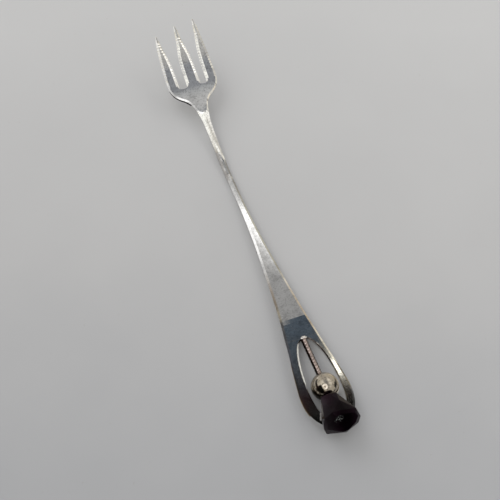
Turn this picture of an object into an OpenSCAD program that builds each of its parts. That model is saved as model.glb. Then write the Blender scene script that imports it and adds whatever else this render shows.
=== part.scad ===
// Oyster fork with three notched tines and a pierced handle that frames a thistle: a wire stem,
// a hollow bead and a faceted stone. Millimetres, Z up, tips toward +Y, lying face up on a table.

/* [Overall] */
// length from the longest tine tip to the end of the stone
fork_len = 146; // [120:0.1:180]
// width over the outer tines
head_w = 16.2; // [13:0.1:22]
// width of the handle at the middle of its loop
loop_w = 14.8; // [13:0.1:19]
// width of the thinnest place of the shank
shank_w = 1.9; // [1.6:0.05:3.4]

/* [Runs along the fork] */
// from the slot ends to the longest tip
tine_len = 19.7; // [15:0.1:25]
// from the slot ends back to the point where the face of the head ends
head_len = 9.5; // [7:0.1:12]
// from the slot ends back to the heel that the fork lies on
heel_run = 33; // [24:0.5:38]
// from the arch of the opening to the outer end of the loop
loop_len = 28.6; // [26:0.1:31]
// from the arch of the opening to its rear end
open_len = 26.8; // [22:0.1:27.4]

/* [Thickness] */
// thickness of the handle and its loop
handle_t = 1.7; // [1.2:0.05:2.6]
// thickness of the neck behind the tines
neck_t = 1.9; // [1.5:0.05:3]
// thickness of the head where the slots end
head_t = 1.25; // [1:0.05:2]
// thickness of the tines at their tips
tip_t = 1; // [0.7:0.05:1.6]

/* [Curve] */
// height of the tine tips over the heel
tip_rise = 14.6; // [6:0.1:16]

/* [Tines] */
// width of a slot between two tines
slot_w = 2.2; // [1.6:0.05:3]
// width of the middle tine at its root
mid_tine_w = 4.5; // [3:0.05:5.2]
// how far the hand-cut middle tine stands to the right of the axis
mid_shift = 0.2; // [0:0.05:0.5]
// how far the left tine has worn back
left_wear = 2.2; // [0:0.05:3.2]
// how far the middle tine has worn back
mid_wear = 0.6; // [0:0.05:3]
// width of a blunt tine tip
tip_w = 0.8; // [0.5:0.05:1.2]

/* [Bevels and notches] */
// width of the bright bevel along the handle and the shank
bevel_w = 0.62; // [0.3:0.02:0.9]
// width of the finer bevel round the shoulders of the head
head_bevel = 0.4; // [0.3:0.01:0.8]
// depth of that bevel
bevel_d = 0.45; // [0.2:0.02:0.7]
// width of the small bevel inside the opening
inner_bevel = 0.35; // [0.2:0.02:0.7]
// width of the notched bevel along the tines
tine_bevel = 0.8; // [0.3:0.02:1]
// size of the broken edge round the back
back_edge = 0.3; // [0.1:0.02:0.45]
// notches along each tine edge
notch_count = 14; // [5:1:16]
// distance between two notches
notch_pitch = 0.86; // [0.7:0.01:1.2]
// width across a notch
notch_w = 0.5; // [0.3:0.02:0.6]
// depth of a notch
notch_d = 0.24; // [0.1:0.02:0.35]

/* [Opening] */
// width of the opening in the loop
open_w = 9.6; // [8.6:0.1:10.8]
// how far the hand-cut opening and the thistle in it lie to the right of the axis
open_shift = 0.35; // [0:0.05:0.5]

/* [Thistle] */
// diameter of the bead, which the handle's end lies on
bead_d = 8; // [7:0.1:8.4]
// distance from the arch of the opening to the bead's centre
bead_run = 16.4; // [14:0.1:18]
// how far the bead's centre stands over the middle of the loop's thickness
bead_over = 0.9; // [0:0.05:2]
// wall of the bead
bead_wall = 0.6; // [0.4:0.05:0.9]
// thickness of the stem wire
stem_d = 1.75; // [1.2:0.05:2.2]
// thickness of the wire end that runs through the bead into the stone
peg_d = 1.1; // [0.9:0.05:1.4]
// angle by which the stone rises from the table
stone_lean = 17; // [12:0.5:22]
// how far the stone is turned on the wire
stone_turn = 8; // [0:1:20]
// width of the stone over two opposite corners of its rim
stone_w = 10.4; // [9:0.1:12]
// width of the stone at its neck
stone_neck_w = 5.4; // [4.6:0.1:6.2]
// length of the stone from the bead centre to its rim
stone_reach = 13.5; // [12:0.1:15]
// how far the cut end of the stone stands out past its rim
crown_h = 0.9; // [0.5:0.1:1.6]
// gap between the stone and the seat filed for it in the loop
seat_gap = 0.06; // [0.02:0.01:0.2]
// film of cement round the wire end in the stone
cement_t = 0.15; // [0.1:0.01:0.3]

/* [Hidden] */
half = 1 / 2;
third = 1 / 3;
$fn = 64;
eps = handle_t / 170;
// one run of the blank sits this much inside the next one where they overlap
tuck = handle_t / 57;
tip_y = fork_len * half;
slot_end_y = tip_y - tine_len;
vee_y = slot_end_y - head_len;
heel_y = slot_end_y - heel_run;
corner_turn = 8;
table_w_share = 0.84;
table_r = stone_w * half * table_w_share;
table_low = table_r * cos(stone_turn - corner_turn);
// from the arch of the opening to the far end of the leaning stone
butt_len = bead_run + (stone_reach + crown_h) * cos(stone_lean) + table_low * sin(stone_lean);
arch_y = butt_len - tip_y;
loop_front_share = 0.6315;
loop_rear = loop_len * (1 - loop_front_share);
loop_mid_y = arch_y - loop_len * loop_front_share;
open_front_share = 0.619;
open_front = open_len * open_front_share;
open_rear = open_len - open_front;
open_mid_y = arch_y - open_front;
open_half = open_w * half;
open_power = 0.96;
rear_power = 0.91;
step_y = tine_len / 140;

// Outline of the face: head as shares of its length and half width, then the grip as shares of its run
head_half = head_w * half;
loop_half = loop_w * half;
shank_half = shank_w * half;
head_shares = [[-0.27, 1], [-0.084, 0.978], [0.063, 0.926], [0.18, 0.852], [0.316, 0.7], [0.42, 0.535],
    [0.537, 0.395], [0.684, 0.3]];
neck_shares = [[0.82, 2.14], [1, 1.78]];
shank_shares = [[0.024, 1.34], [0.0555, 1.17], [0.088, 1.08], [0.156, 1.01], [0.233, 0.98], [0.303, 0.97],
    [0.338, 0.99]];
grip_shares = [[0.373, 0.1365], [0.408, 0.155], [0.443, 0.176], [0.477, 0.201], [0.511, 0.234],
    [0.544, 0.27], [0.578, 0.309], [0.611, 0.347], [0.643, 0.386], [0.676, 0.427], [0.708, 0.472],
    [0.74, 0.519], [0.771, 0.573], [0.817, 0.664], [0.862, 0.75], [0.893, 0.818], [0.952, 0.935],
    [1, 1]];
grip_run = vee_y - loop_mid_y;
outline = concat(
    [for (s = head_shares) [slot_end_y - s[0] * head_len, s[1] * head_half]],
    [for (s = neck_shares) [slot_end_y - s[0] * head_len, s[1] * shank_half]],
    [for (s = shank_shares) [vee_y - s[0] * grip_run, s[1] * shank_half]],
    [for (s = grip_shares) [vee_y - s[0] * grip_run, s[1] * loop_half]]);

// Smooth curve through a list of stations that runs from front to back
function slot_of(list, y, i = 0) = i >= len(list) - 2 || y >= list[i + 1][0] ? i : slot_of(list, y, i + 1);
function clamp01(v) = max(0, min(1, v));
function slope_at(list, i) = i == 0 || i == len(list) - 1 ? 0
    : (list[i + 1][1] - list[i - 1][1]) / (list[i + 1][0] - list[i - 1][0]);
function curve(list, y) =
    let (
        i = slot_of(list, y),
        a = list[i],
        b = list[i + 1],
        run = b[0] - a[0],
        k = clamp01((y - a[0]) / run),
        k2 = k * k,
        k3 = k2 * k
    )
    (2 * k3 - 3 * k2 + 1) * a[1] + (k3 - 2 * k2 + k) * run * slope_at(list, i)
        + (3 * k2 - 2 * k3) * b[1] + (k3 - k2) * run * slope_at(list, i + 1);
function half_at(y) = curve(outline, y);
function edge_lean(y) = (half_at(y + step_y) - half_at(y - step_y)) / (step_y + step_y);

// Side profile: level loop on the bead, straight handle down to the heel, then the rise of the tines
bead_r = bead_d * half;
loop_base = bead_r - bead_over - handle_t * half;
bend_share = 0.11;
bend_y = arch_y + (heel_y - arch_y) * bend_share;
rise_power = 1.8;
function rise_at(y) = tip_rise * pow(max(0, (y - heel_y) / (tip_y - heel_y)), rise_power);
function grip_at(y) = loop_base * clamp01((heel_y - y) / (heel_y - bend_y));
function base_at(y) = rise_at(y) + grip_at(y);
thick = [[tip_y, tip_t], [slot_end_y, head_t], [vee_y, neck_t], [heel_y, neck_t], [arch_y, handle_t],
    [-tip_y, handle_t]];
function thick_at(y) = curve(thick, y);
function top_at(y) = base_at(y) + thick_at(y);

// One cross-section of the blank between two edges, with bevels, a ridge and broken back edges
function section(p, q, base, t, bp, bq, drop, fall) =
    let (
        wide = norm(q - p),
        u = (q - p) / wide,
        e = min(back_edge, wide * third * half),
        ap = min(bp, wide * third),
        aq = min(bq, wide * third),
        mid = (ap + wide - aq) * half
    )
    [
        concat(p + u * e, [base]),
        concat(q - u * e, [base]),
        concat(q, [base + e]),
        concat(q, [base + t - drop]),
        concat(q - u * aq, [base + t - fall]),
        concat(p + u * mid, [base + t]),
        concat(p + u * ap, [base + t - fall]),
        concat(p, [base + t - drop]),
        concat(p, [base + e])
    ];

module skin(list) {
    n = len(list);
    m = len(list[0]);
    polyhedron(
        points = [for (s = list) for (v = s) v],
        faces = concat(
            [[for (j = [0 : m - 1]) j]],
            [for (i = [0 : n - 2]) for (j = [0 : m - 1]) each [
                [i * m + j, (i + 1) * m + j, i * m + (j + 1) % m],
                [i * m + (j + 1) % m, (i + 1) * m + j, (i + 1) * m + (j + 1) % m]
            ]],
            [[for (j = [m - 1 : -1 : 0]) (n - 1) * m + j]]
        ),
        convexity = 6
    );
}

// Head, shank and grip in one run, from the slot ends back to the arch of the opening
head_front_y = slot_end_y + slot_w * half;
body_steps = 110;
ridge_front_y = vee_y + head_len * 0.13;
ridge_full_y = vee_y - head_len * 0.04;
ridge_back_y = heel_y + head_len * 0.6;
// how much of the section is a ridge: all of it behind the point of the head, none along the grip
function ridge_at(y) = y > vee_y
    ? clamp01((ridge_front_y - y) / (ridge_front_y - ridge_full_y))
    : clamp01((y - ridge_back_y) / (vee_y - ridge_back_y) * 2);
ridge_fall_share = 0.4;
body_power = 1.6;
function body_y(k) = head_front_y + (arch_y + step_y - head_front_y) * pow(k, body_power);
function body_section(y) =
    let (
        w = half_at(y),
        k = ridge_at(y),
        b = (y > vee_y ? head_bevel : bevel_w) * sqrt(1 + pow(edge_lean(y), 2)),
        cut = min(w * (third + third), b + (w * (third + third) - b) * k)
    )
    section([-w, y], [w, y], base_at(y), thick_at(y), cut, cut, bevel_d, bevel_d * ridge_fall_share * k);

module blank_body() {
    skin([for (i = [0 : body_steps]) body_section(body_y(i / body_steps))]);
}

// Half of the loop as a band between the opening and the outer edge
loop_steps = 40;
half_turn = 180;
// the right half of the loop runs this far past the middle into the left one
loop_over = 5;
quarter = 90;
function full(v, power) = sign(v) * pow(abs(v), power);
function inner_at(a) = a < quarter
    ? [open_half * pow(sin(a), open_power), open_mid_y + open_front * pow(cos(a), open_power)]
    : [open_half * full(sin(a), rear_power), open_mid_y + open_rear * full(cos(a), rear_power)];
function outer_at(a) =
    let (y = loop_mid_y + (arch_y + bevel_w - loop_mid_y) * cos(a))
    a < quarter ? [half_at(y), y]
        : [loop_half * full(sin(a), rear_power), loop_mid_y + loop_rear * full(cos(a), rear_power)];
function loop_section(a, side) =
    let (
        i = inner_at(a),
        o = outer_at(a)
    )
    section([open_shift + side * i[0], i[1]], [side * (o[0] - tuck), o[1]], loop_base + tuck,
        handle_t - tuck - tuck, inner_bevel, bevel_w, bevel_d, 0);

module loop_half(side) {
    turn = side > 0 ? [0 : loop_steps] : [loop_steps : -1 : 0];
    end_turn = side > 0 ? half_turn + loop_over : half_turn;
    skin([for (i = turn) loop_section(end_turn * i / loop_steps, side)]);
}

// Tines: edges as shares of the run from the root to the tip and of the half width they belong to
outer_edge_shares = [[1, 0.83], [0.945, 0.86], [0.85, 0.9], [0.74, 0.93], [0.62, 0.955], [0.5, 0.972],
    [0.38, 0.985], [0.26, 1], [0.1, 1], [0, 1]];
inner_edge_shares = [[1, 0.763], [0.93, 0.728], [0.84, 0.697], [0.74, 0.655], [0.64, 0.61],
    [0.54, 0.575], [0.42, 0.553], [0, 0.54]];
mid_edge_shares = [[1, 0.19], [0.93, 0.26], [0.84, 0.36], [0.74, 0.5], [0.64, 0.69], [0.54, 0.86],
    [0.42, 0.95], [0.3, 0.985], [0, 1]];
tine_root_y = slot_end_y - slot_w * half;
root_run = tip_y - tine_root_y;
inner_root_share = 0.54;
inner_shift = mid_tine_w * half + slot_w + tuck - inner_root_share * head_half;
function station(s) = tine_root_y + s * root_run;
outer_edge = [for (s = outer_edge_shares) [station(s[0]), s[1] * head_half - tuck]];
inner_edge = [for (s = inner_edge_shares) [station(s[0]), s[1] * head_half + inner_shift]];
mid_edge = [for (s = mid_edge_shares) [station(s[0]), s[1] * mid_tine_w * half - tuck]];
tine_steps = 44;
tip_share = 0.09;
outer_bevel_share = 0.7;
// the last stretch of a tine closes in to a blunt rounded tip
function close_in(y, end_y) =
    let (k = clamp01((end_y - y) / (root_run * tip_share)))
    sqrt(1 - pow(1 - k, 2));
function tine_y(k, end_y) = tine_root_y + (end_y - tine_root_y) * (1 - pow(1 - k, 2));
function tine_section(lo, hi, y, end_y, blo, bhi) =
    let (
        mid = (lo + hi) * half,
        k = close_in(y, end_y),
        w = max((hi - lo) * half, tip_w * half) * (half + half * k),
        t = thick_at(y) * (half + half * k),
        base = base_at(y) + tuck + thick_at(y) * (1 - k) * half * half,
        f = third * half + k
    )
    section([mid - w, y], [mid + w, y], base, t - tuck - tuck, blo * f, bhi * f,
        min(bevel_d * f * t / head_t, t * third), 0);
function stretch(y, end_y) = tine_root_y + (y - tine_root_y) * root_run / (end_y - tine_root_y);

module outer_tine(side, wear) {
    end_y = tip_y - wear;
    outer_bevel = tine_bevel * outer_bevel_share;
    skin([for (i = [tine_steps : -1 : 0])
        let (
            y = tine_y(i / tine_steps, end_y),
            a = side * curve(inner_edge, stretch(y, end_y)),
            b = side * min(curve(outer_edge, stretch(y, end_y)), half_at(y) - tuck)
        )
        tine_section(min(a, b), max(a, b), y, end_y,
            side > 0 ? tine_bevel : outer_bevel, side > 0 ? outer_bevel : tine_bevel)]);
}

module middle_tine() {
    end_y = tip_y - mid_wear;
    skin([for (i = [tine_steps : -1 : 0])
        let (
            y = tine_y(i / tine_steps, end_y),
            a = curve(mid_edge, stretch(y, end_y))
        )
        tine_section(mid_shift - a, mid_shift + a, y, end_y, tine_bevel, tine_bevel)]);
}

// Slot bottoms are rounded and bevelled on the face
slot_round_share = 0.6;
rim_bevel = tine_bevel;
module slot_cut(side) {
    deep = tip_rise + neck_t;
    wide = slot_w - side * mid_shift;
    slot_x = side * (mid_tine_w + slot_w) * half + mid_shift * half;
    round_y = slot_end_y + wide * half * slot_round_share;
    translate([slot_x, round_y, 0])
        scale([1, slot_round_share, 1])
            cylinder(d = wide, h = deep);
    translate([slot_x, round_y, top_at(slot_end_y) - bevel_d])
        scale([1, slot_round_share, 1])
            cylinder(d1 = wide, d2 = wide + rim_bevel + rim_bevel, h = bevel_d + bevel_d);
    translate([slot_x - wide * half, round_y, 0])
        cube([wide, slot_w, deep]);
}

// Notches filed slantwise into the bevels of the tines
notch_first_share = 0.25;
notch_lean = 24;
notch_tip = 34;
function notch_y(i) = tine_root_y + root_run * notch_first_share + notch_pitch * i;
module notch(x, y, side, wide) {
    translate([x - side * wide * half, y, top_at(y) - bevel_d * half])
        rotate([0, side * notch_tip, side * notch_lean])
            hull() {
                translate([0, 0, -notch_d])
                    cube([wide + wide, eps, eps], center = true);
                translate([0, 0, notch_d])
                    cube([wide + wide, notch_w + notch_w, eps], center = true);
            }
}
module notches() {
    for (i = [0 : notch_count - 1]) {
        y = notch_y(i);
        for (side = [-1, 1]) {
            end_y = tip_y - (side < 0 ? left_wear : 0);
            notch(side * curve(outer_edge, stretch(y, end_y)), y, side, tine_bevel * outer_bevel_share);
            notch(side * curve(inner_edge, stretch(y, end_y)), y, -side, tine_bevel);
            notch(mid_shift + side * curve(mid_edge, stretch(y, tip_y - mid_wear)), y, side, tine_bevel);
        }
    }
}

// Axis of the stem from inside the arch to the bead, and axis of the stone from the bead's centre
stem_seat = 1.1;
bead_y = arch_y - bead_run;
stem_lean = atan(bead_over / bead_run);
module on_stem(back) {
    translate([open_shift, bead_y, bead_r])
        rotate([-quarter - stem_lean, 0, 0])
            translate([0, 0, back])
                children();
}
module on_stone(along) {
    translate([open_shift, bead_y, bead_r])
        rotate([quarter - stone_lean, 0, 0])
            translate([0, 0, along])
                children();
}
stem_end = bead_run / cos(stem_lean) + stem_seat;
stem_from = bead_r - bead_wall;
rim_at = stone_reach;
stone_neck_at = sqrt(pow(bead_r, 2) - pow(stone_neck_w * half, 2)) - bead_wall * half;
peg_share = 0.62;
peg_end = bead_r + (stone_reach - bead_r) * peg_share;
hole_d = peg_d + cement_t + cement_t;
hole_end = peg_end + cement_t;

// Stone: rings of six corners, each corner cut off by a narrow facet
six = 6;
sixth_turn = 60;
waist_share = 0.5;
waist_w_share = 0.43;
girdle_share = 0.25;
crown_w_share = 0.985;
function corner(r, turn) = [r * cos(quarter + stone_turn + turn), r * sin(quarter + stone_turn + turn)];
function ring(r, along) = [for (i = [0 : six - 1]) each [
    concat(corner(r, sixth_turn * i - corner_turn), [along]),
    concat(corner(r, sixth_turn * i + corner_turn), [along])
]];
module stone_body(gap) {
    run = rim_at - stone_neck_at;
    neck_r = stone_neck_w * half + gap;
    rim_r = stone_w * half + gap;
    skin([
        ring(neck_r, stone_neck_at),
        ring(neck_r + (rim_r - neck_r) * waist_w_share, stone_neck_at + run * waist_share),
        ring(rim_r, rim_at),
        ring(rim_r * crown_w_share, rim_at + crown_h * girdle_share),
        ring(table_r + gap, rim_at + crown_h)
    ]);
}

// The silver fork itself, one piece from the tips to the loop, with the seats of the stem and the stone
module fork_blank() {
    color("silver")
    difference() {
        union() {
            difference() {
                blank_body();
                slot_cut(-1);
                slot_cut(1);
            }
            loop_half(1);
            loop_half(-1);
            outer_tine(-1, left_wear);
            outer_tine(1, 0);
            middle_tine();
        }
        notches();
        on_stem(stem_from) cylinder(d = stem_d, h = stem_end - stem_from);
        on_stone(0) stone_body(seat_gap);
    }
}

// Wire stem with ring marks, turned down where it runs through the bead and on into the stone
ring_count = 11;
ring_w = 0.3;
ring_d = 0.13;
stem_r = stem_d * half;
ring_pitch = (stem_end - stem_seat - bead_r) / (ring_count + 1);
stem_profile = concat(
    [[0, stem_from], [stem_r, stem_from]],
    [for (i = [1 : ring_count]) each [
        [stem_r, bead_r + ring_pitch * i - ring_w],
        [stem_r - ring_d, bead_r + ring_pitch * i],
        [stem_r, bead_r + ring_pitch * i + ring_w]
    ]],
    [[stem_r, stem_end], [0, stem_end]]);
module thistle_stem() {
    color("silver") {
        on_stem(0) rotate_extrude() polygon(stem_profile);
        on_stem(0) cylinder(d = peg_d, h = bead_r);
        on_stem(0) sphere(d = peg_d + tuck + tuck);
        on_stone(0) cylinder(d = peg_d, h = peg_end);
    }
}

// Front half of the hollow bead, with the hole for the stem
module bead_front_half() {
    color("gainsboro")
    on_stem(0)
        difference() {
            sphere(r = bead_r);
            sphere(r = bead_r - bead_wall);
            translate([0, 0, -bead_r - bead_r])
                cylinder(r = bead_r + eps, h = bead_r + bead_r);
            cylinder(d = stem_d, h = bead_r + bead_r);
        }
}

// Rear half of the hollow bead, with the hole for the wire end
module bead_rear_half() {
    color("gainsboro")
    difference() {
        on_stem(0)
            difference() {
                sphere(r = bead_r);
                sphere(r = bead_r - bead_wall);
                cylinder(r = bead_r + eps, h = bead_r + bead_r);
            }
        on_stone(0) cylinder(d = peg_d, h = bead_r + bead_r);
    }
}

// Film of cement between the wire end and the drilled hole of the stone
module stone_cement() {
    color("ivory")
    difference() {
        on_stone(0) cylinder(d = hole_d, h = hole_end);
        on_stone(-bead_r) cylinder(d = peg_d, h = peg_end + bead_r);
        on_stone(0) sphere(r = bead_r);
    }
}

// Faceted stone, drilled for the wire end and hollowed to sit on the bead
module thistle_stone() {
    color([0.16, 0.06, 0.2])
    difference() {
        on_stone(0) stone_body(0);
        on_stone(0) cylinder(d = hole_d, h = hole_end);
        on_stone(0) sphere(r = bead_r);
    }
}

fork_blank();
thistle_stem();
bead_front_half();
bead_rear_half();
stone_cement();
thistle_stone();
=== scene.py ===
import bpy
import bmesh
import math
import random
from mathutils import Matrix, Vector


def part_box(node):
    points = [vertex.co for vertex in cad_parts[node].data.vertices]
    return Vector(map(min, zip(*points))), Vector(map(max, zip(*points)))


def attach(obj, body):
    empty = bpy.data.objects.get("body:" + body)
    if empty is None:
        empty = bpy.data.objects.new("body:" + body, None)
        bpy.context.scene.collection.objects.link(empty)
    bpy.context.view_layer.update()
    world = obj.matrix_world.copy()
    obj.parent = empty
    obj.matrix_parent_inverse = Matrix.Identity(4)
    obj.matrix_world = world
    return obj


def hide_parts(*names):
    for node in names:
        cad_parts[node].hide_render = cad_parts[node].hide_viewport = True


# Oyster fork in silver with a thistle of wire, bead and dark stone. Metres, same frame as the model.
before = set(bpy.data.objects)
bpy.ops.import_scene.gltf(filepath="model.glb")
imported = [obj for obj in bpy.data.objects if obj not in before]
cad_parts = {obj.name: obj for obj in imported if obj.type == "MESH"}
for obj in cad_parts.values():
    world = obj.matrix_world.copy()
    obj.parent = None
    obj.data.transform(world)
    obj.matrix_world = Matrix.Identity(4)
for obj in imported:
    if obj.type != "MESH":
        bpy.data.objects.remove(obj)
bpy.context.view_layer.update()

MM = 0.001
UP = Vector((0, 0, 1))
NOISE_LOW, NOISE_HIGH = 0.3, 0.7    # where nearly all of a noise's values lie


# Helpers for materials
def empty_material(name):
    material = bpy.data.materials.new(name)
    material.use_nodes = True
    tree = material.node_tree
    for old in list(tree.nodes):
        tree.nodes.remove(old)
    return material, tree, tree.nodes.new("ShaderNodeOutputMaterial")


def new_material(name):
    material, tree, out = empty_material(name)
    shader = tree.nodes.new("ShaderNodeBsdfPrincipled")
    link(tree, shader.outputs["BSDF"], out.inputs["Surface"])
    return material, tree, shader


def node(tree, kind, **values):
    made = tree.nodes.new(kind)
    for key, value in values.items():
        if hasattr(made, key) and key not in made.inputs:
            setattr(made, key, value)
        else:
            made.inputs[key].default_value = value
    return made


def link(tree, a, b):
    tree.links.new(a, b)


def coords(tree, scale=(1, 1, 1), turn=(0, 0, 0)):
    place = tree.nodes.new("ShaderNodeTexCoord")
    mapping = node(tree, "ShaderNodeMapping", Scale=scale, Rotation=turn)
    link(tree, place.outputs["Object"], mapping.inputs["Vector"])
    return mapping.outputs["Vector"]


def axes(tree, vector):
    split = tree.nodes.new("ShaderNodeSeparateXYZ")
    link(tree, vector, split.inputs[0])
    return split.outputs["X"], split.outputs["Y"], split.outputs["Z"]


def noise(tree, vector, scale, detail=3.0, rough=0.5):
    texture = node(tree, "ShaderNodeTexNoise", Scale=scale, Detail=detail, Roughness=rough)
    link(tree, vector, texture.inputs["Vector"])
    return texture.outputs["Fac"]


def ramp(tree, fac, table):
    made = tree.nodes.new("ShaderNodeValToRGB")
    elements = made.color_ramp.elements
    while len(elements) > 1:
        elements.remove(elements[-1])
    elements[0].position, elements[0].color = table[0][0], (*table[0][1], 1.0)
    for place, colour in table[1:]:
        elements.new(place).color = (*colour, 1.0)
    link(tree, fac, made.inputs["Fac"])
    return made.outputs["Color"]


def grey(level):
    return (level, level, level)


def span(tree, fac, a, b, low=0.0, high=1.0):
    """What runs from a to b, carried over to low to high and held there beyond."""
    made = tree.nodes.new("ShaderNodeMapRange")
    for key, value in (("From Min", a), ("From Max", b), ("To Min", low), ("To Max", high)):
        made.inputs[key].default_value = value
    link(tree, fac, made.inputs["Value"])
    return made.outputs["Result"]


def window(tree, fac, rise, full, fade, end):
    """One between full and fade, nothing before rise and past end."""
    return times(tree, span(tree, fac, rise, full), span(tree, fac, fade, end, 1.0, 0.0))


def wander(tree, fac, reach):
    """Noise as a shift of up to reach to either side."""
    return span(tree, fac, NOISE_LOW, NOISE_HIGH, -reach, reach)


def maths(tree, op, a, b):
    made = node(tree, "ShaderNodeMath", operation=op)
    for i, value in enumerate((a, b)):
        if isinstance(value, (int, float)):
            made.inputs[i].default_value = value
        else:
            link(tree, value, made.inputs[i])
    return made.outputs[0]


def add(tree, a, b):
    return maths(tree, "ADD", a, b)


def times(tree, a, b):
    return maths(tree, "MULTIPLY", a, b)


def vector_maths(tree, op, vector, other, output):
    made = node(tree, "ShaderNodeVectorMath", operation=op)
    link(tree, vector, made.inputs[0])
    made.inputs[1].default_value = tuple(other)
    return made.outputs[output]


def bump(tree, height, strength, distance, normal=None):
    made = node(tree, "ShaderNodeBump", Strength=strength, Distance=distance)
    link(tree, height, made.inputs["Height"])
    if normal is not None:
        link(tree, normal, made.inputs["Normal"])
    return made.outputs["Normal"]


def blend(tree, fac, a, b):
    made = node(tree, "ShaderNodeMix", data_type="RGBA")
    link(tree, fac, made.inputs[0])
    link(tree, a, made.inputs[6])
    link(tree, b, made.inputs[7])
    return made.outputs[2]


def mult(tree, a, b):
    made = node(tree, "ShaderNodeMix", data_type="RGBA", blend_type="MULTIPLY")
    made.inputs[0].default_value = 1.0
    link(tree, a, made.inputs[6])
    link(tree, b, made.inputs[7])
    return made.outputs[2]


def plain(tree, rgb):
    made = tree.nodes.new("ShaderNodeRGB")
    made.outputs[0].default_value = (*rgb, 1)
    return made.outputs[0]


# Places on the fork that the materials need
front_low, front_high = (Vector(c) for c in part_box("bead_front_half"))
rear_low, rear_high = (Vector(c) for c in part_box("bead_rear_half"))
bead_low = Vector([min(pair) for pair in zip(front_low, rear_low)])
bead_high = Vector([max(pair) for pair in zip(front_high, rear_high)])
bead_mid = (bead_low + bead_high) / 2
stem_low, stem_high = (Vector(c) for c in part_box("thistle_stem"))

SPARKLE_AT = (-0.0012, -0.0705, 0.0102)    # middle of the chip marks on the stone's cut end, painted lighter as glints
TIPS_FROM, TIPS_TO = 0.0605, 0.0655        # the painted shade gives way to a painted highlight on the tines' bevels from here on
LOOP_FROM, LOOP_TO = -0.034, -0.038        # the loop is more mottled from here back
TWIST = (0.0175, 0.0195, 0.0295, 0.032)    # the shank's worn twist, whose left side is painted in shade: fades in, full, fades out
LEE = (-0.5, -0.76, -0.42)                 # from the middle of the bead to its side painted in shade


# Materials
def silver(name, tint, rough, tarnish, dents, spots=0.8, extra=None):
    """Polished silver: fine spots of tarnish, hand-worn scratches and shallow dents."""
    material, tree, shader = new_material(name)
    shader.inputs["Metallic"].default_value = 1.0
    even = coords(tree)
    along = coords(tree, (1, 0.06, 1), (0, 0, 0.12))
    across = coords(tree, (0.06, 1, 1), (0, 0, 0.5))
    cloud = noise(tree, even, 260, 4, 0.6)
    fine = noise(tree, even, 1500, 3, 0.6)
    speckle = noise(tree, even, 1700, 4, 0.65)
    lines = noise(tree, along, 5200, 2, 0.5)
    hairs = noise(tree, across, 4200, 2, 0.5)
    colour = ramp(tree, cloud, [(0.36, tuple(part * tarnish for part in tint)), (0.6, tint)])
    colour = mult(tree, colour, ramp(tree, speckle, [(0.5, grey(1)), (0.68, grey(spots))]))
    colour = mult(tree, colour, ramp(tree, lines, [(0.58, grey(1)), (0.72, grey(0.9))]))
    if extra is not None:
        colour = mult(tree, colour, extra(tree))
    link(tree, colour, shader.inputs["Base Color"])
    worn = span(tree, cloud, 0.35, 0.7, rough * 1.5, rough * 0.7)
    haired = span(tree, hairs, 0.6, 0.8, 0.0, rough * 0.5)
    link(tree, add(tree, worn, haired), shader.inputs["Roughness"])
    dented = bump(tree, noise(tree, even, 330, 2, 0.5), 0.5, dents)
    grained = bump(tree, fine, 0.2, 0.000003, dented)
    scratch = ramp(tree, lines, [(0.6, grey(1)), (0.68, grey(0))])
    link(tree, bump(tree, scratch, 0.06, 0.000002, grained), shader.inputs["Normal"])
    return material


def recess_shade(tree):
    """Painted shade in the filed notches and corners, mottling, and painted shade on the left side of the
    twist.
    """
    even = coords(tree)
    x, y, _ = axes(tree, even)
    # painted shade: darker where ambient occlusion finds notches and corners
    corner = node(tree, "ShaderNodeAmbientOcclusion", Distance=0.00045, samples=8, only_local=True)
    recess = ramp(tree, corner.outputs["AO"], [
        (0.4, (0.3, 0.28, 0.25)), (0.62, (0.8, 0.79, 0.77)), (0.78, grey(1))])
    patch = noise(tree, even, 430, 5, 0.68)
    more = span(tree, y, LOOP_FROM, LOOP_TO, 0.0, 0.06)
    mottle = ramp(tree, maths(tree, "SUBTRACT", patch, more), [
        (0.3, grey(0.72)), (0.46, grey(0.97)), (0.6, grey(1))])
    # painted shade on the left side of the twist
    left = span(tree, add(tree, x, wander(tree, patch, 0.0004)), -0.0001, -0.0004)
    twist_shade = ramp(tree, times(tree, window(tree, y, *TWIST), left), [
        (0.0, grey(1)), (1.0, (0.62, 0.6, 0.58))])
    shade = mult(tree, twist_shade, mult(tree, recess, mottle))
    # towards the tips the painted shade fades and the bevels are painted brighter, a painted highlight
    tips = ramp(tree, span(tree, y, TIPS_FROM, TIPS_TO), [(0.0, grey(0)), (1.0, grey(0.75))])
    return blend(tree, tips, shade, plain(tree, (1.02, 1.01, 0.97)))


def stem_shade(tree):
    """Painted shade along both sides of the stem."""
    even = coords(tree)
    x, _, _ = axes(tree, even)
    across = add(tree, x, wander(tree, noise(tree, even, 1800, 3), 0.00012))
    return ramp(tree, span(tree, across, -0.0006, 0.0013), [
        (0.0, (0.03, 0.022, 0.02)), (0.24, (0.05, 0.035, 0.03)), (0.36, grey(1)), (0.7, grey(1)),
        (0.8, grey(0.14)), (1.0, grey(0.07))])


def bead_shade(tree):
    """Painted shade on the bead's lower left, towards the stone, and on its foot."""
    even = coords(tree)
    from_mid = vector_maths(tree, "SUBTRACT", even, bead_mid, 0)
    away = vector_maths(tree, "DOT_PRODUCT", from_mid, LEE, "Value")
    patch = add(tree, away, wander(tree, noise(tree, even, 900, 4, 0.7), 0.0016))
    return ramp(tree, span(tree, patch, 0.0008, 0.0034), [
        (0.0, grey(1)), (0.3, (0.7, 0.67, 0.6)), (0.5, (0.22, 0.2, 0.18)), (1.0, (0.05, 0.045, 0.04))])


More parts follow.
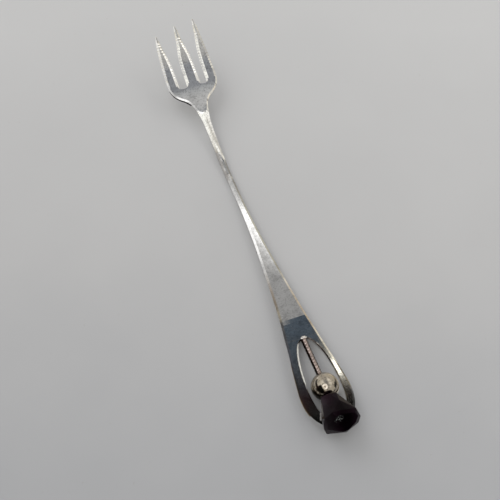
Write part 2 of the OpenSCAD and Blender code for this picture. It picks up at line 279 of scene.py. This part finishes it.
def stone_material():
    """Near-black purple glass-like stone, worn and with chip marks on the cut end painted lighter as glints;
    painted light across its flanks.
    """
    material, tree, shader = new_material("dark_stone")
    even = coords(tree)
    x, _, _ = axes(tree, even)
    cloud = noise(tree, even, 180, 4, 0.6)
    plum = ramp(tree, cloud, [
        (0.35, (0.002, 0.0008, 0.0018)), (0.55, (0.006, 0.002, 0.0048)), (0.75, (0.018, 0.006, 0.0135))])
    # painted light across the stone: left flank lighter, middle near black, right a little lighter
    side = add(tree, x, wander(tree, noise(tree, even, 420, 2), 0.0004))
    painted_flanks = ramp(tree, span(tree, side, -0.0035, 0.0045), [
        (0.0, (0.05, 0.04, 0.048)), (0.16, (0.032, 0.02, 0.028)), (0.3, (0.014, 0.005, 0.011)),
        (0.46, (0.002, 0.0008, 0.002)), (0.66, (0.002, 0.001, 0.002)), (0.8, (0.012, 0.006, 0.011)),
        (1.0, (0.022, 0.014, 0.021))])
    plum = blend(tree, span(tree, cloud, NOISE_LOW, NOISE_HIGH, 0.15, 0.6), painted_flanks, plum)
    # chip marks on the cut end painted light grey as glints; darker towards the middle of the cut end
    near = vector_maths(tree, "DISTANCE", even, SPARKLE_AT, "Value")
    flakes = span(tree, noise(tree, even, 2300, 3, 0.6), 0.54, 0.61)
    chip_glints = times(tree, flakes, span(tree, near, 0.0009, 0.0017, 1.0, 0.0))
    deep = span(tree, near, 0.003, 0.0075, 0.25, 1.0)
    dark = mult(tree, plum, ramp(tree, deep, [(0.0, grey(0)), (1.0, grey(1))]))
    chip_glint_colour = ramp(tree, cloud, [(0.0, (0.2, 0.23, 0.22)), (1.0, (0.4, 0.44, 0.43))])
    link(tree, blend(tree, chip_glints, dark, chip_glint_colour), shader.inputs["Base Color"])
    shader.inputs["IOR"].default_value = 1.45
    shader.inputs["Specular IOR Level"].default_value = 0.06
    shader.inputs["Specular Tint"].default_value = (0.85, 0.5, 0.7, 1)
    link(tree, span(tree, noise(tree, even, 900, 3, 0.6), 0.4, 0.75, 0.03, 0.14), shader.inputs["Roughness"])
    waved = bump(tree, noise(tree, even, 500, 2, 0.5), 0.25, 0.00001)
    link(tree, bump(tree, chip_glints, 0.5, 0.00004, waved), shader.inputs["Normal"])
    return material


def cement_material():
    material, tree, shader = new_material("cement")
    even = coords(tree)
    colour = ramp(tree, noise(tree, even, 1500, 4, 0.6), [
        (0.35, (0.42, 0.36, 0.26)), (0.7, (0.62, 0.56, 0.44))])
    link(tree, colour, shader.inputs["Base Color"])
    rough = span(tree, noise(tree, even, 900), NOISE_LOW, NOISE_HIGH, 0.5, 0.85)
    link(tree, rough, shader.inputs["Roughness"])
    link(tree, bump(tree, noise(tree, even, 3000, 3), 0.4, 0.00002), shader.inputs["Normal"])
    return material


def paint(name, material):
    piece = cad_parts[name]
    for slot in piece.material_slots:
        slot.material = material
    if not piece.material_slots:
        piece.data.materials.append(material)


bead = silver("bead_silver", (0.56, 0.5, 0.42), 0.1, 0.8, 0.00003, 0.6, bead_shade)
dark_stone = stone_material()
paint("fork_blank", silver("blank_silver", (0.95, 0.94, 0.92), 0.038, 0.86, 0.000009, 0.72, recess_shade))
paint("thistle_stem", silver("stem_silver", (0.5, 0.405, 0.37), 0.19, 0.66, 0.00003, 0.5, stem_shade))
paint("bead_front_half", bead)
paint("bead_rear_half", bead)
paint("stone_cement", cement_material())
paint("thistle_stone", dark_stone)


# Helpers for objects
def add_object(name, data):
    made = bpy.data.objects.new(name, data)
    bpy.context.scene.collection.objects.link(made)
    return made


def add_piece(name, bm, material, smooth):
    """The built shape as an object, which ends the building."""
    mesh = bpy.data.meshes.new(name)
    bm.to_mesh(mesh)
    bm.free()
    for face in mesh.polygons:
        face.use_smooth = smooth
    mesh.materials.append(material)
    return add_object(name, mesh)


def flat_mesh(name, corners, material):
    mesh = bpy.data.meshes.new(name)
    mesh.from_pydata(corners, [], [tuple(range(len(corners)))])
    mesh.materials.append(material)
    return mesh


# The stone as it is cut: an uneven rim, a bevelled neck and a triangular facet on top
LEAN = math.radians(17)
FLAT = math.radians(2.5)    # facets that differ by less are one facet
EDGE_WEAR = 0.00008
out_axis = Vector((0, -math.cos(LEAN), math.sin(LEAN)))
up_axis = Vector((0, math.sin(LEAN), math.cos(LEAN)))
# corners to the right and up, in millimetres, by their distance from the middle of the bead
CUT = {
    3.75: [(-1.9, 1.1), (0.8, 1.25), (1.5, 0.2), (1.3, -1.1), (0.0, -1.6), (-1.9, -0.9)],
    5.0: [(-3.1, 1.9), (-0.6, 2.35), (1.35, 2.0), (2.3, 0.4), (2.1, -1.7), (-0.1, -2.7), (-3.1, -1.5)],
    9.2: [(0.8, 3.4)],
    11.0: [(-5.4, 0.7), (-5.3, -1.3)],
    13.5: [(-5.7, 0.8), (-5.7, -1.4), (-5.1, -3.4), (0.6, -5.4), (4.3, -3.0), (5.05, -0.7), (3.9, 3.1),
           (0.9, 3.95), (-2.8, 4.55), (-5.3, 3.0)],
    14.6: [(-4.9, 1.4), (-5.0, -0.4), (-0.4, -3.5), (0.9, -3.3), (3.1, -1.3), (3.9, 0.9), (3.0, 2.9),
           (1.1, 3.4), (-2.3, 3.8)],
}
bm = bmesh.new()
for run, ring in CUT.items():
    for u, v in ring:
        bm.verts.new(bead_mid + (out_axis * run + Vector((1, 0, 0)) * u + up_axis * v) * MM)
bmesh.ops.convex_hull(bm, input=bm.verts[:])
bmesh.ops.delete(bm, geom=[v for v in bm.verts if not v.link_faces], context="VERTS")
bmesh.ops.dissolve_limit(bm, angle_limit=FLAT, verts=bm.verts[:], edges=bm.edges[:])
bmesh.ops.bevel(bm, geom=bm.edges[:], offset=EDGE_WEAR, segments=2, affect="EDGES", profile=0.6)
bmesh.ops.recalc_face_normals(bm, faces=bm.faces[:])
cut_stone = add_piece("cut_stone", bm, dark_stone, smooth=False)
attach(cut_stone, "root")
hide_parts("thistle_stone")

# The burnished left edge of the opening: a small rounded arris along the corner
STEPS, SIDES = 26, 8
ARRIS_FROM, ARRIS_RUN = -0.0424, -0.0138
ARRIS_R = 0.0003
ARRIS_IN, ARRIS_DOWN = 0.00006, 0.00008    # middle of the arris, from the wall and the face
IN_THE_WALL = 0.003     # a height at which the wall of the opening is met
ABOVE_ALL = 0.02
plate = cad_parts["fork_blank"]


def top_at(x, y):
    """Height of the blank's face, or None beside it."""
    hit, place, *_ = plate.ray_cast(Vector((x, y, ABOVE_ALL)), -UP)
    return place.z if hit else None


bm = bmesh.new()
rings = []
for i in range(STEPS + 1):
    f = i / STEPS
    y = ARRIS_FROM + ARRIS_RUN * f
    hit, wall, *_ = plate.ray_cast(Vector((0.0, y, IN_THE_WALL)), Vector((-1, 0, 0)))
    if not hit:
        continue
    r = ARRIS_R * min(1.0, 0.15 + 5 * f, 0.15 + 5 * (1 - f))
    r *= 1 + 0.08 * math.sin(17 * f) + 0.05 * math.sin(41 * f)
    centre = Vector((wall.x - ARRIS_IN, y, top_at(wall.x - ARRIS_R, y) - ARRIS_DOWN))
    turns = [2 * math.pi * k / SIDES for k in range(SIDES)]
    rings.append([bm.verts.new(centre + Vector((math.cos(a), 0, math.sin(a))) * r) for a in turns])
for near_ring, far_ring in zip(rings, rings[1:]):
    for k in range(SIDES):
        after = (k + 1) % SIDES
        bm.faces.new((near_ring[k], near_ring[after], far_ring[after], far_ring[k]))
bm.faces.new(rings[0][::-1])
bm.faces.new(rings[-1])
bmesh.ops.recalc_face_normals(bm, faces=bm.faces[:])
arris_silver = silver("arris_silver", (1.0, 0.99, 0.96), 0.13, 0.85, 0.00001)
arris = add_piece("loop_arris", bm, arris_silver, smooth=True)
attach(arris, "root")

# Solder: a lumpy run where the stem meets the arch of the loop
ARCH = -0.0416       # top of the opening, where the stem is soldered on
LOOP_FACE = 0.0038   # height of the loop's face
# each lump: to the right and up from the arch, and size, in millimetres
LUMPS = ((-0.55, 0.1, 0.26), (-0.2, 0.28, 0.34), (0.25, 0.3, 0.38), (0.6, 0.12, 0.3), (0.05, 0.5, 0.24))
dice = random.Random(7)
bm = bmesh.new()
for dx, dy, size in LUMPS:
    x = (stem_low.x + stem_high.x) / 2 + dx * MM
    y = ARCH + dy * MM
    top = top_at(x, y)
    place = Vector((x, y, LOOP_FACE if top is None else top))
    for v in bmesh.ops.create_icosphere(bm, subdivisions=3, radius=size * MM)["verts"]:
        k = 1 + 0.22 * math.sin(v.co.x * 9000 + dx * 7) * math.sin(v.co.y * 8000 + dy * 5)
        k += dice.uniform(-0.03, 0.03)
        v.co = Vector((v.co.x * 1.25, v.co.y, v.co.z * 0.55)) * k + place
solder_silver = silver("solder_silver", (0.95, 0.9, 0.86), 0.3, 0.7, 0.00002, 0.6)
lump = add_piece("solder_run", bm, solder_silver, smooth=True)
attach(lump, "root")

# Camera
FOCAL, PICTURE = 1397.0, 500.0    # focal length and picture width, in pixels
SENSOR = 36.0
TILT = math.radians(32.45)
YAW = 0.3515
EYE = Vector((-79.95, -216.35, 352.09)) * MM
heading = Vector((math.sin(YAW), math.cos(YAW), 0))
look = heading * math.sin(TILT) - UP * math.cos(TILT)
cam_data = bpy.data.cameras.new("camera")
cam_data.sensor_width = SENSOR
cam_data.lens = SENSOR * FOCAL / PICTURE
cam_data.clip_start = 0.01
cam_data.clip_end = 20.0
cam = add_object("camera", cam_data)
cam.location = EYE
cam.rotation_euler = look.to_track_quat("-Z", "Y").to_euler()
bpy.context.scene.camera = cam

# Floor: pale grey, painted paler towards the key light and to the right, a painted fall of light
SLANT_X, SLANT_Y = 0.344, 0.939    # the camera's heading over the floor
FLOOR_HALF = 1.5
SQUARE = ((-1, -1), (1, -1), (1, 1), (-1, 1))
floor_mat, tree, shader = new_material("floor_grey")
even = coords(tree)
x, y, _ = axes(tree, even)
far = add(tree, times(tree, x, SLANT_X), times(tree, y, SLANT_Y))
far = add(tree, far, wander(tree, noise(tree, even, 25, 3), 0.012))
# painted light: the floor paler away from the camera, towards the key light
pale = ramp(tree, span(tree, far, -0.16, 0.16), [
    (0.0, (0.37, 0.378, 0.405)), (0.25, (0.428, 0.435, 0.462)), (0.48, (0.508, 0.51, 0.53)),
    (0.77, (0.572, 0.575, 0.594)), (1.0, (0.575, 0.578, 0.596))])
# painted light: the floor paler to the right
aside = maths(tree, "SUBTRACT", times(tree, x, SLANT_Y), times(tree, y, SLANT_X))
painted_light_right = ramp(tree, span(tree, aside, -0.08, 0.08), [
    (0.0, grey(1.08)), (0.5, grey(1.115)), (1.0, grey(1.2))])
pale = mult(tree, pale, painted_light_right)
fleck = ramp(tree, noise(tree, even, 700, 3, 0.7), [(0.69, grey(1)), (0.76, (0.86, 0.84, 0.82))])
link(tree, mult(tree, pale, fleck), shader.inputs["Base Color"])
shader.inputs["Roughness"].default_value = 0.75
shader.inputs["Specular IOR Level"].default_value = 0.2
floor_corners = [(a * FLOOR_HALF, c * FLOOR_HALF, 0) for a, c in SQUARE]
floor = add_object("floor", flat_mesh("floor", floor_corners, floor_mat))

# Room: a wide panel on each side, warm low down, and a quieter strip of ceiling between them
world = bpy.data.worlds.new("studio")
bpy.context.scene.world = world
world.use_nodes = True
tree = world.node_tree
background = tree.nodes["Background"]
x, _, z = axes(tree, tree.nodes.new("ShaderNodeTexCoord").outputs["Generated"])
left_wall = ramp(tree, z, [
    (0.0, (0.62, 0.61, 0.57)), (0.3, (0.64, 0.63, 0.58)), (0.5, (0.7, 0.69, 0.64)),
    (0.75, (0.85, 0.83, 0.77)), (0.9, (1.1, 1.1, 1.05))])
right_wall = ramp(tree, z, [
    (0.0, (0.7, 0.67, 0.6)), (0.2, (0.7, 0.68, 0.62)), (0.45, (0.62, 0.6, 0.55)),
    (0.58, (0.68, 0.66, 0.61)), (0.68, (1.08, 1.07, 1.02))])
ceiling = ramp(tree, z, [
    (0.0, (0.6, 0.58, 0.55)), (0.4, (0.56, 0.54, 0.51)), (0.8, (0.5, 0.49, 0.475)),
    (1.0, (0.41, 0.42, 0.44))])
to_left = span(tree, x, -0.02, -0.22)
to_right = span(tree, x, 0.34, 0.5)
room = blend(tree, to_right, blend(tree, to_left, ceiling, left_wall), right_wall)
link(tree, room, background.inputs["Color"])
background.inputs["Strength"].default_value = 1.0

# Key light: a soft square behind and to the left
KEY_AT = Vector((-0.2, 0.4, 0.42))
key_data = bpy.data.lights.new("key", "AREA")
key_data.shape = "RECTANGLE"
key_data.size = key_data.size_y = 0.5
key_data.energy = 0.75
key = add_object("key", key_data)
key.location = KEY_AT
key.rotation_euler = (-KEY_AT).to_track_quat("-Z", "Y").to_euler()
key.visible_glossy = False


# Cards: glowing sheets that light nothing and only the polish shows them, painted reflections
def card(name, corners, painter):
    """A card drawn straight in the shared frame, in millimetres."""
    material, tree, out = empty_material(name)
    glow = tree.nodes.new("ShaderNodeEmission")
    at = tree.nodes.new("ShaderNodeTexCoord").outputs["Object"]
    link(tree, painter(tree, at, *axes(tree, at)), glow.inputs["Color"])
    link(tree, glow.outputs[0], out.inputs["Surface"])
    o = add_object(name, flat_mesh(name, [tuple(v * MM for v in c) for c in corners], material))
    o.visible_camera = False
    o.visible_diffuse = False
    o.visible_shadow = False


def lying(name, outline, height, painter):
    card(name, [(a, c, height) for a, c in outline], painter)


def standing(name, x, outline, painter):
    card(name, [(x, a, c) for a, c in outline], painter)


def levels(tree, place, table):
    """Light along a card: its places are in millimetres, and a level by itself is a grey."""
    first, last = table[0][0], table[-1][0]
    stops = [((p - first) / (last - first), c if isinstance(c, tuple) else grey(c)) for p, c in table]
    return ramp(tree, span(tree, place, first * MM, last * MM), stops)


def mottled(scale, detail, low_at, low_level, high_at, high_level):
    """A painter for a card of two levels, mixed by noise."""
    def painter(tree, at, x, y, z):
        return ramp(tree, noise(tree, at, scale, detail), [(low_at, low_level), (high_at, high_level)])
    return painter


# The painted reflection's ceiling strips by their place along the fork: cool grey, a black strip that turns
# to slate and ends sharply, mid grey, and a white strip that fades in slowly and ends fast
COOL = (0.26, 0.27, 0.29)
SLATE_DARK, SLATE = (0.05, 0.056, 0.064), (0.068, 0.09, 0.116)
CEILING_STRIPS = [
    (-100, 0.5), (-10, 0.4), (10, COOL), (120, COOL), (190, (0.4, 0.41, 0.42)), (300, 0.5), (340, 0.34),
    (348, 0.001), (368, 0.001), (390, (0.014, 0.006, 0.007)), (420, SLATE_DARK), (476, SLATE), (482, 0.3),
    (600, 0.335), (645, 0.31), (690, 0.62), (704, 0.76), (720, 1.35), (758, 1.4), (776, 0.55), (860, 0.5)]
CEILING_OUTLINE = [(100, -100), (330, -100), (330, 860), (100, 860)]


def overhead(tree, at, x, y, z):
    """Painted reflection of a ceiling above the fork: a dark strip over the loop, a white one over the neck,
    grey between.
    """
    # the strips bend where the handle sees them from the side, and the dark one ends at the arch
    lift = times(tree, span(tree, x, 0.24, 0.25, 0.0, 0.035), span(tree, y, 0.63, 0.65))
    in_loop = times(tree, span(tree, x, 0.216, 0.223), span(tree, y, 0.6, 0.66, 1.0, 0.0))
    drop = times(tree, span(tree, y, 0.47, 0.546, 0.0, -0.076), in_loop)
    wave = wander(tree, noise(tree, at, 60, 3, 0.6), 0.002)
    strips = levels(tree, add(tree, add(tree, y, add(tree, lift, drop)), wave), CEILING_STRIPS)
    # the strips are no wider than the loop sees, and the worn twist of the shank sees a grey corner
    over_loop = span(tree, y, 0.3, 0.35)
    left_end = times(tree, span(tree, x, 0.178, 0.184, 1.0, 0.0), over_loop)
    right_end = times(tree, span(tree, x, 0.29, 0.3), over_loop)
    corner = times(tree, span(tree, x, 0.228, 0.2335, 1.0, 0.0), span(tree, y, 0.645, 0.66))
    # a painted reflection of a lamp on the loop's right band, with a painted warm glint round it
    right = span(tree, x, 0.2462, 0.2475)
    lamp_reflection = times(tree, right, window(tree, y, 0.4, 0.408, 0.421, 0.429))
    glint = times(tree, span(tree, y, 0.392, 0.404, 0.15, 1.0), span(tree, y, 0.444, 0.452, 1.0, 0.0))
    glint = times(tree, times(tree, right, glint), span(tree, y, 0.385, 0.392))
    light = blend(tree, corner, strips, plain(tree, (0.42, 0.4, 0.38)))
    light = blend(tree, add(tree, left_end, right_end), light, plain(tree, (0.6, 0.585, 0.56)))
    light = blend(tree, glint, light, plain(tree, (0.44, 0.42, 0.35)))
    return blend(tree, lamp_reflection, light, plain(tree, (2.6, 2.5, 2.2)))


lying("overhead_card", CEILING_OUTLINE, 1000, overhead)

# Painted reflection, left of the fork: nearly black beside the loop, a warm edge where the handle starts,
# then white, brightest beside the shank
LEFT_X = -30
LEFT_LEVELS = [
    (-110, 0.001), (-67, 0.004), (-50, (0.028, 0.015, 0.015)), (-38, 0.027), (-28, (0.068, 0.073, 0.088)),
    (-14, 0.1), (-9, (0.34, 0.31, 0.25)), (-5, (0.23, 0.195, 0.155)), (0, (0.35, 0.31, 0.27)), (9, 0.66),
    (19, 1.28), (31, 1.28), (36, 0.74), (42, 0.63), (67, 0.97), (90, 1.0)]
LEFT_OUTLINE = [(-110, 10), (90, 10), (90, 30), (0, 30), (-30, 22), (-58, 22), (-62, 48), (-110, 48)]


def beside_left(tree, at, x, y, z):
    return levels(tree, y, LEFT_LEVELS)


standing("left_card", LEFT_X, LEFT_OUTLINE, beside_left)

# Painted reflection, right of the fork: cream, darker beside the handle low down, and nearly black past the
# loop
RIGHT_X = 42
RIGHT_STEP = (0.009, 0.01)    # height where what the handle sees ends and what the head sees starts
PAST_LOOP = [(-80, 0.02), (-60, 0.05), (-48, 0.15)]
CREAM_GREY = (0.62, 0.6, 0.54)
RIGHT_HIGH = PAST_LOOP + [
    (-40, (0.8, 0.72, 0.6)), (-12, (0.85, 0.76, 0.62)), (20, (0.7, 0.62, 0.5)), (50, (0.88, 0.85, 0.76)),
    (90, CREAM_GREY)]
RIGHT_LOW = PAST_LOOP + [
    (-40, (0.7, 0.63, 0.52)), (-19, (0.82, 0.76, 0.62)), (-14, (0.51, 0.43, 0.32)), (0, (0.53, 0.46, 0.36)),
    (5, (0.68, 0.63, 0.53)), (10, (0.395, 0.375, 0.31)), (28, (0.53, 0.51, 0.43)), (38, (0.46, 0.44, 0.38)),
    (48, (0.28, 0.27, 0.25)), (51, (0.86, 0.83, 0.74)), (90, CREAM_GREY)]
RIGHT_OUTLINE = [
    (-80, 0.5), (90, 0.5), (90, 9), (58, 9), (56, 15), (28, 15), (26, 9), (-53, 9), (-55, 18), (-80, 18)]


def beside_right(tree, at, x, y, z):
    low, high = levels(tree, y, RIGHT_LOW), levels(tree, y, RIGHT_HIGH)
    return blend(tree, span(tree, z, *RIGHT_STEP), low, high)


standing("right_card", RIGHT_X, RIGHT_OUTLINE, beside_right)

# A painted reflection of a ring lamp round the camera, aimed at the bead
RING_HALF = 190
RING_BACK = 1.12    # distance from the bead, as a share of the camera's
BEAD_AIM = Vector((0.3, -58, 4))
ring_at = BEAD_AIM + (EYE / MM - BEAD_AIM) * RING_BACK
ring_out = (ring_at - BEAD_AIM).normalized()
ring_x = ring_out.cross(UP).normalized()
ring_y = ring_x.cross(ring_out)


def ring_reflection(tree, at, x, y, z):
    radius = vector_maths(tree, "DISTANCE", at, ring_at * MM, "Value")
    radius = add(tree, radius, wander(tree, noise(tree, at, 12, 2), 0.02))
    return ramp(tree, span(tree, radius, 0.0, 0.3), [
        (0.0, (0.5, 0.42, 0.36)), (0.19, (0.58, 0.5, 0.43)), (0.26, grey(2.0)), (0.57, grey(1.9)),
        (0.68, (0.24, 0.22, 0.18)), (0.85, (0.12, 0.11, 0.1)), (1.0, (0.05, 0.045, 0.04))])


ring_corners = [tuple(ring_at + ring_x * a * RING_HALF + ring_y * c * RING_HALF) for a, c in SQUARE]
card("ring_card", ring_corners, ring_reflection)

# A dark sleeve low on the left, and sheets on the floor that the bead, bevels and walls see: painted
# reflections, the dark ones painted shade
SHEET = 0.3    # height of the sheets
dark = mottled(40, 2, 0.3, grey(0.015), 0.7, grey(0.04))
pale_glow = mottled(60, 2, 0.3, (0.6, 0.59, 0.56), 0.7, (0.75, 0.74, 0.7))
brown = mottled(200, 3, 0.35, (0.06, 0.045, 0.03), 0.65, (0.19, 0.15, 0.095))
olive = mottled(260, 3, 0.35, (0.08, 0.075, 0.055), 0.65, (0.34, 0.3, 0.22))
cream = mottled(120, 2, 0.35, (1.0, 0.93, 0.74), 0.65, (1.2, 1.14, 0.94))
EDGE_OUTLINE = [(-14, 16), (-2.0, 16), (-4.0, -10), (-5.5, -24), (-6.5, -64), (-20, -64), (-16, -24)]

standing("sleeve_card", -60, [(-170, 3), (-52, 3), (-52, 90), (-170, 90)], dark)
# painted reflection of lit floor under the loop
lying("under_card", [(5, -62), (17, -62), (17, -34), (5, -34)], SHEET, pale_glow)
# painted shade: the floor in front of the stone, seen in its cut end
lying("front_card", [(-25, -125), (40, -125), (40, -75), (-25, -75)], 0.4, dark)
# painted shade under the head's left shoulder
lying("shoulder_card", [(-15, 44), (-6.6, 44), (-6.6, 58), (-15, 58)], SHEET, dark)
# painted shade along the handle's left edge, seen in its wall
lying("edge_card", EDGE_OUTLINE, SHEET, brown)
# painted reflections of the floor right of the loop, olive then cream
lying("olive_card", [(17.3, -62), (42, -62), (42, -41), (17.3, -41)], SHEET, olive)
lying("cream_card", [(17.3, -40.5), (42, -40.5), (42, -22), (17.3, -22)], SHEET, cream)

scene = bpy.context.scene
scene.view_settings.view_transform = "Standard"
